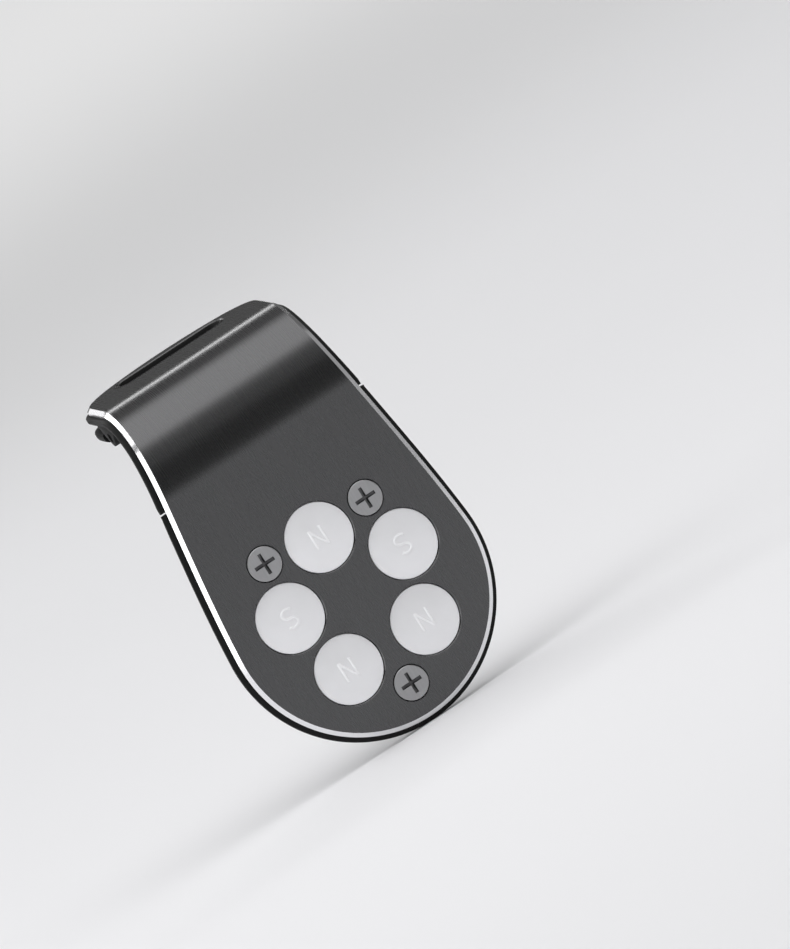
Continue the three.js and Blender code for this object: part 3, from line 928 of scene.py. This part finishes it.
def back_cover():
    """The rounded back, with a shallow round dish and the cavity that holds the yoke."""
    shape = Shape()
    outline = band(high=COVER_TOP)
    rim = [(grow, COVER_FRONT_Y + depth) for grow, depth in COVER_RIM]
    rim += [tuple(cubic(COVER_SIDE, share)) for share in np.linspace(0, 1, 12)]
    height = COVER_BACK_Y - COVER_FRONT_Y
    rings = [(outline(grow), (y - COVER_FRONT_Y) / height) for grow, y in rim]
    cavity_share = (CAVITY_BACK_Y - COVER_FRONT_Y) / height
    cavity = [(circle((0, 0), CAVITY_RADIUS), share) for share in (0, cavity_share)]
    dish = [(circle((0, 0), radius), 1 - drop / height) for radius, drop in DISH]
    place = sheet_layer(constant(COVER_FRONT_Y), cover_back)
    loft(shape, rings, place, (1.0, 1.0), sunk=[cavity], sunk_back=[dish])
    piece("cover", shape, [PLASTIC, PLASTIC], "holder", ["back_cover"], smooth=35)


def liner_back(x, run):
    """The liner thins from its start to the upper jaw."""
    liner_end = SOFT_END + TIGHT_RADIUS * (LINER_END_LEAN - SOFT_ANGLE)
    share = min(max((run - liner_end + 1) / 2, 0), 1)
    share = share * share * (3 - 2 * share)
    return LINER_BACK_DEPTH + (UPPER_JAW_BACK_DEPTH - LINER_BACK_DEPTH) * share


def flange_point(along, below):
    """The (y, z) place of a point `along` the flange from the bend and `below` its surface."""
    _, y, z = sheet_point(0, BEND_END + along, below)
    return y, z


def side_block(shape, outline, start_x, end_x, edge, through=()):
    """A block with a (y, z) outline, between two places across the plate, with softened edges."""
    loop = softened(closed_loop(outline, 0.15), 30)
    rings = [
        (grown(loop, -edge), start_x),
        (grown(loop, -edge * 0.3), start_x + edge * 0.3),
        (loop, start_x + edge),
        (loop, end_x - edge),
        (grown(loop, -edge * 0.3), end_x - edge * 0.3),
        (grown(loop, -edge), end_x),
    ]
    holes = [[(hole, start_x), (hole, end_x)] for hole in through]
    loft(shape, rings, facing_side, through=holes)


def ear_outline():
    """From the liner, round the hinge pin and up to the flange, anticlockwise as (y, z)."""
    start_run = SOFT_END + TIGHT_RADIUS * (EAR_START_LEAN - SOFT_ANGLE)
    outline = [sheet_point(0, start_run, EAR_DEPTH)[1:]]
    for angle in np.linspace(*EAR_ARC, 22):
        outline.append((HINGE_Y + EAR_RADIUS * math.cos(angle),
                        HINGE_Z + EAR_RADIUS * math.sin(angle)))
    return outline + [flange_point(EAR_END_ALONG, EAR_DEPTH), flange_point(0, EAR_DEPTH)]


def slot_collar(shape):
    """The collar that lines the flange's slot, open through its middle."""
    bore_grow = -COLLAR_GAP - COLLAR_WALL
    wall = [(flange_slot(-COLLAR_GAP + grow), share)
            for grow, share in ((-COLLAR_EDGE, 0), (0, COLLAR_EDGE), (0, 1))]
    opening = [(flange_slot(bore_grow + grow), share)
               for grow, share in ((COLLAR_EDGE, 0), (0, COLLAR_EDGE), (0, 1))]
    place = sheet_layer(constant(COLLAR_RECESS), constant(COLLAR_END_DEPTH))
    loft(shape, wall, place, through=[opening])


def tongue_and_pegs(shape):
    """The tongue that reaches down between the sheet and the cover, with its two pegs."""
    loop = closed_loop([(-TONGUE_HALF_WIDTH, TONGUE_BOTTOM), (TONGUE_HALF_WIDTH, TONGUE_BOTTOM),
                        (TONGUE_HALF_WIDTH, TONGUE_TOP), (-TONGUE_HALF_WIDTH, TONGUE_TOP)], 0.5)
    narrow = grown(loop, -0.2)
    loft(shape, [(narrow, COVER_FRONT_Y), (loop, COVER_FRONT_Y + TONGUE_EDGE),
                 (loop, TONGUE_BACK_Y - TONGUE_EDGE), (narrow, TONGUE_BACK_Y)], facing_front)
    peg_side = ((PEG_RADIUS, TONGUE_BACK_Y - 0.2), (PEG_RADIUS, PEG_END_Y - 0.2),
                (PEG_RADIUS - 0.2, PEG_END_Y))
    for x in (-PEG_X, PEG_X):
        peg = [(circle((x, PEG_Z), radius, 32), y) for radius, y in peg_side]
        loft(shape, peg, facing_front)


def clip_housing():
    """Liner, upper jaw, the slot's collar, the tongue with its pegs, and the hinge ears."""
    shape = Shape()
    outline = band(low=LINER_START)
    place = sheet_layer(constant(COVER_FRONT_Y), liner_back)
    rings = [(outline(RIM_OVERHANG - inset), share) for inset, share in HOUSING_SIDE]
    loft(shape, rings, place, (1.5, 0.5))
    slot_collar(shape)
    tongue_and_pegs(shape)
    bore = circle((HINGE_Y, HINGE_Z), PIN_HOLE_RADIUS, 48)
    outer_x = FLANGE_HALF_WIDTH + RIM_OVERHANG
    side_block(shape, ear_outline(), EAR_INNER_X, outer_x, EAR_EDGE, [bore])
    side_block(shape, ear_outline(), -outer_x, -EAR_INNER_X, EAR_EDGE, [bore])
    piece("housing", shape, [PLASTIC], "holder", ["clip_housing"], smooth=35)


# ---- the clip's moving jaw ----

def jaw_underside(x, run):
    """How far below the flange the jaw's underside is."""
    return float(np.interp(run - BEND_END, UNDERSIDE_ALONG, UNDERSIDE_DEPTH))


def jaw_web(shape, start_x, end_x, tops, foot):
    """A web from the knuckle to the jaw, between two places across the plate."""
    corners = [(along, JAW_TOP) for along in tops]
    corners += [(tops[-1], WEB_END_DEPTH), (tops[0], foot)]
    outline = [flange_point(along, below) for along, below in corners][::-1]
    side_block(shape, outline, start_x, end_x, WEB_EDGE)


def barrel(shape, radius, start_x, end_x, edge, bore=None):
    """A round bar or tube about the hinge's axis."""
    centre = (HINGE_Y, HINGE_Z)
    profile = ((radius - edge, start_x), (radius, start_x + edge), (radius, end_x - edge),
               (radius - edge, end_x))
    rings = [(circle(centre, r, 64), x) for r, x in profile]
    holes = []
    if bore is not None:
        hole = circle(centre, bore, 48)
        holes.append([(hole, start_x), (hole, end_x)])
    loft(shape, rings, facing_side, through=holes)


def thumb_tab(shape):
    """The tab that opens the jaw, with rounded corners and grip ribs on its back."""
    def place(x, z, share):
        front = np.interp(z, *TAB_FRONT)
        back = np.interp(z, *TAB_BACK)
        return x, front + (back - front) * share, z

    outline = [(TAB_HALF_WIDTH, TAB_TOP), (-TAB_HALF_WIDTH, TAB_TOP)]
    for side, angles in ((-1, np.linspace(180, 270, 9)), (1, np.linspace(270, 360, 9))):
        for angle in np.radians(angles):
            outline.append((side * (TAB_HALF_WIDTH - TAB_CORNER) + TAB_CORNER * math.cos(angle),
                            TAB_BOTTOM + TAB_CORNER + TAB_CORNER * math.sin(angle)))
    loop = closed_loop(outline, 0.3)
    loft(shape, [(grown(loop, grow), share) for grow, share in TAB_SIDE], place, (1.0, 0.4))
    for z in TAB_RIB_HEIGHTS:
        rib = round_slot((0, z), TAB_RIB_HALF_LENGTH, TAB_RIB_HALF_WIDTH, 9)
        back = np.interp(z, *TAB_BACK)
        rings = [(rib, back - 0.3), (rib, back + 0.08), (grown(rib, -0.1), back + 0.16)]
        loft(shape, rings, facing_front)


def lower_jaw():
    """The moving jaw: its body under the flange, knuckles, webs and thumb tab."""
    shape = Shape()
    outline = band(low=BEND_END + JAW_START)
    place = sheet_layer(constant(JAW_TOP), jaw_underside)
    rings = [(outline(RIM_OVERHANG - inset), share) for inset, share in JAW_SIDE]
    loft(shape, rings, place, (1.2, 0.5))
    pocket_start = SPRING_INNER_X - COIL_ROOM
    pocket_end = SPRING_OUTER_X + COIL_ROOM
    for start_x, end_x in ((-KNUCKLE_HALF_WIDTH, -pocket_end), (-pocket_start, pocket_start),
                           (pocket_end, KNUCKLE_HALF_WIDTH)):
        barrel(shape, KNUCKLE_RADIUS, start_x, end_x, KNUCKLE_EDGE, bore=PIN_HOLE_RADIUS)
        jaw_web(shape, start_x + WEB_GAP, end_x - WEB_GAP, *KNUCKLE_WEB)
    for start_x in (-pocket_end, pocket_start):
        jaw_web(shape, start_x, start_x + pocket_end - pocket_start, *POCKET_WEB)
    thumb_tab(shape)
    piece("jaw", shape, [PLASTIC], "jaw", ["lower_jaw"], smooth=35)


def grip_pad(name, node, body, grip_depth, seat_depth):
    """A silicone pad with ribs across the mouth."""
    shape = Shape()
    towards_seat = 1 if seat_depth > grip_depth else -1

    def grip(x, run):
        ribs = (run - BEND_END - PAD_START) / PAD_RIB_PITCH
        wave = 0.5 - 0.5 * math.cos(2 * math.pi * ribs)
        return grip_depth + towards_seat * PAD_RIB_HEIGHT * (1 - wave)

    outline = band(low=BEND_END + PAD_START)
    rim = ((-PAD_INSET - 0.1, 0), (-PAD_INSET, 0.3), (-PAD_INSET, 1))
    loft(shape, [(outline(grow), share) for grow, share in rim],
         sheet_layer(grip, constant(seat_depth)), (1.2, 0.13))
    piece(name, shape, [SILICONE], body, [node], smooth=50)


def hinge_pin():
    """The steel pin through the housing's ears and the jaw's knuckles."""
    shape = Shape()
    barrel(shape, PIN_RADIUS, -PIN_HALF_LENGTH, PIN_HALF_LENGTH, PIN_EDGE)
    piece("pin", shape, [BARE_STEEL], "holder", ["hinge_pin"])


def spring_path(side):
    """The wire's route: from the liner, round the pin, and down the jaw's tab."""
    outer = side * (SPRING_OUTER_X - WIRE_RADIUS)
    inner = side * (SPRING_INNER_X + WIRE_RADIUS)
    coil = []
    for share in np.linspace(0, 1, COIL_POINTS):
        angle = COIL_START + (COIL_END - COIL_START) * share
        coil.append(np.array((outer + (inner - outer) * share,
                              HINGE_Y + COIL_RADIUS * math.cos(angle),
                              HINGE_Z + COIL_RADIUS * math.sin(angle))))
    liner_end = np.array((outer, *WIRE_ON_LINER))
    tab_end = np.array((inner, *WIRE_ON_TAB))
    shares = np.linspace(0, 1, LEG_POINTS)
    liner_leg = [liner_end + (coil[0] - liner_end) * share for share in shares[:-1]]
    tab_leg = [coil[-1] + (tab_end - coil[-1]) * share for share in shares[1:]]
    return np.array(liner_leg + coil + tab_leg)


def torsion_spring(name, node, side):
    """A closed tube of wire along the spring's route."""
    shape = Shape()
    path = spring_path(side)
    along = np.gradient(path, axis=0)
    along /= np.linalg.norm(along, axis=1)[:, None]
    segments = 12
    rings = []
    across = np.array((1.0, 0.0, 0.0))
    for point, ahead in zip(path, along):
        first = across - ahead * np.dot(across, ahead)
        first /= np.linalg.norm(first)
        second = np.cross(ahead, first)
        ring = []
        for i in range(segments):
            angle = 2 * math.pi * i / segments
            place = point + WIRE_RADIUS * (first * math.cos(angle) + second * math.sin(angle))
            ring.append(len(shape.points))
            shape.points.append(tuple(place))
            shape.plans.append((0, 0))
        rings.append(ring)
    for near, far in zip(rings, rings[1:]):
        shape.wall(near, far)
    shape.face(rings[0])
    shape.face(rings[-1][::-1])
    start = to_row(side * (SPRING_OUTER_X - 2 * WIRE_RADIUS), HINGE_Y, HINGE_Z)
    end = to_row(side * (SPRING_INNER_X + 2 * WIRE_RADIUS), HINGE_Y, HINGE_Z)
    piece(name, shape, [SPRING_STEEL], None, [node], smooth=60,
          blend=("holder", "jaw", start, end))


front_shell()
for magnet_node, pole in MAGNETS.items():
    magnet(magnet_node, pole)
for screw_node in SCREWS:
    face_screw(screw_node)
back_cover()
clip_housing()
lower_jaw()
grip_pad("upper_pad", "upper_grip_pad", "holder", 2.45, 2.0)
grip_pad("lower_pad", "lower_grip_pad", "jaw", 2.85, 3.3)
hinge_pin()
torsion_spring("left_spring", "spring_left", -1)
torsion_spring("right_spring", "spring_right", 1)

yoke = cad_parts["yoke_plate"]
yoke.data.materials.clear()
yoke.data.materials.append(BARE_STEEL)


# ---- stage, light and camera ----

AZIMUTH = math.radians(-12)
ELEVATION = math.radians(4.7)
ROLL = math.radians(-32.4)
DISTANCE = 3.0
VIEW_HEIGHT = 0.13273
AIM_RIGHT = 0.0052
AIM_UP = 0.01727
SENSOR = 36.0
GLOW_START = 0.3
GLOW_END = 2.0
GLOW_STRENGTH = 0.6
WORLD_STRENGTH = 0.13
FLOOR_HALF = 30
LIGHT_AIM = (0, 8, 12)
LIGHT_DISTANCE = 1.0
OVERHEAD_WIDTH = 1.6

# The soft light above: stacked boxes, as elevations in degrees and the brightness each adds.
OVERHEAD = ((25, 122, 0.22), (33, 114, 0.46), (40, 106, 0.75), (47, 98, 0.72), (55, 90, 0.5))

# The other soft lights: azimuth and elevation in degrees, width, height and brightness.
CARDS = {
    "rear_strip": (180, 40, 1.6, 0.12, 4.5),
    "left_card": (-78, 8, 1.0, 1.0, 2.0),
    "right_card": (78, 8, 1.0, 1.0, 0.2),
    "left_rear_card": (-125, 43, 1.15, 0.26, 2.0),
    "low_rear_card": (-165, 22, 0.36, 0.2, 1.0),
}


def direction(azimuth, elevation):
    """From the object towards a place round it. Azimuth 0 is in front, in front of the face."""
    flat = math.cos(elevation)
    return Vector((math.sin(azimuth) * flat, -math.cos(azimuth) * flat, math.sin(elevation)))


def make_camera():
    """A distant camera at the object's viewing angle, rolled so that the plate leans."""
    data = bpy.data.cameras.new("camera")
    camera = bpy.data.objects.new("camera", data)
    bpy.context.scene.collection.objects.link(camera)
    back = direction(AZIMUTH, ELEVATION)
    turn = (-back).to_track_quat("-Z", "Y") @ Quaternion((0, 0, 1), ROLL)
    aim = to_row(0, 0, 0) + turn @ Vector((AIM_RIGHT, AIM_UP, 0))
    camera.rotation_mode = "QUATERNION"
    camera.rotation_quaternion = turn
    camera.location = aim + back * DISTANCE
    data.sensor_width = SENSOR
    data.lens = SENSOR * DISTANCE / VIEW_HEIGHT
    data.clip_start = 0.05
    data.clip_end = 60
    bpy.context.scene.camera = camera


def softbox(name, azimuth, elevation, width, height, radiance):
    """A rectangular light that faces the object, with the brightness it has when looked at."""
    data = bpy.data.lights.new(name, "AREA")
    data.shape = "RECTANGLE"
    data.size = width
    data.size_y = height
    data.energy = radiance * width * height * math.pi
    light = bpy.data.objects.new(name, data)
    bpy.context.scene.collection.objects.link(light)
    towards = direction(math.radians(azimuth), math.radians(elevation))
    light.location = to_row(*LIGHT_AIM) + towards * LIGHT_DISTANCE
    light.rotation_mode = "QUATERNION"
    light.rotation_quaternion = towards.to_track_quat("Z", "Y")
    light.visible_camera = False


def glow_far_away(made, shader):
    """Brightens the floor with distance, as a lit sweep behind it would."""
    tree = made.node_tree
    place = tree.nodes.new("ShaderNodeTexCoord").outputs["Object"]
    distance = tree.nodes.new("ShaderNodeVectorMath")
    distance.operation = "LENGTH"
    ramp = tree.nodes.new("ShaderNodeMapRange")
    ramp.interpolation_type = "SMOOTHSTEP"
    ramp.inputs["From Min"].default_value = GLOW_START
    ramp.inputs["From Max"].default_value = GLOW_END
    ramp.inputs["To Max"].default_value = GLOW_STRENGTH
    shader.inputs["Emission Color"].default_value = (1, 1, 1, 1)
    tree.links.new(place, distance.inputs[0])
    tree.links.new(distance.outputs["Value"], ramp.inputs["Value"])
    tree.links.new(ramp.outputs["Result"], shader.inputs["Emission Strength"])


def make_stage():
    """A pale floor under the object, and a pale world round it."""
    mesh = bpy.data.meshes.new("floor")
    signs = ((-1, -1), (1, -1), (1, 1), (-1, 1))
    corners = [(x * FLOOR_HALF, y * FLOOR_HALF, cad_box[0].z) for x, y in signs]
    mesh.from_pydata(corners, [], [(0, 1, 2, 3)])
    made, shader = new_material("pale_floor", gray(0.8), 0.0, 0.7)
    tint(made, shader, add_noise(made, 0.4, detail=2), gray(0.79), gray(0.81))
    glow_far_away(made, shader)
    mesh.materials.append(made)
    floor = bpy.data.objects.new("floor", mesh)
    bpy.context.scene.collection.objects.link(floor)
    world = bpy.data.worlds.new("studio")
    world.use_nodes = True
    backdrop = world.node_tree.nodes["Background"]
    backdrop.inputs["Color"].default_value = (1, 1, 1, 1)
    backdrop.inputs["Strength"].default_value = WORLD_STRENGTH
    bpy.context.scene.world = world
    bpy.context.scene.view_settings.view_transform = "Standard"


make_stage()
for number, (low_edge, high_edge, brightness) in enumerate(OVERHEAD):
    reach = 2 * LIGHT_DISTANCE * math.tan(math.radians(high_edge - low_edge) / 2)
    softbox(f"overhead_{number}", 0, (low_edge + high_edge) / 2, OVERHEAD_WIDTH, reach, brightness)
for card_name, card in CARDS.items():
    softbox(card_name, *card)
make_camera()
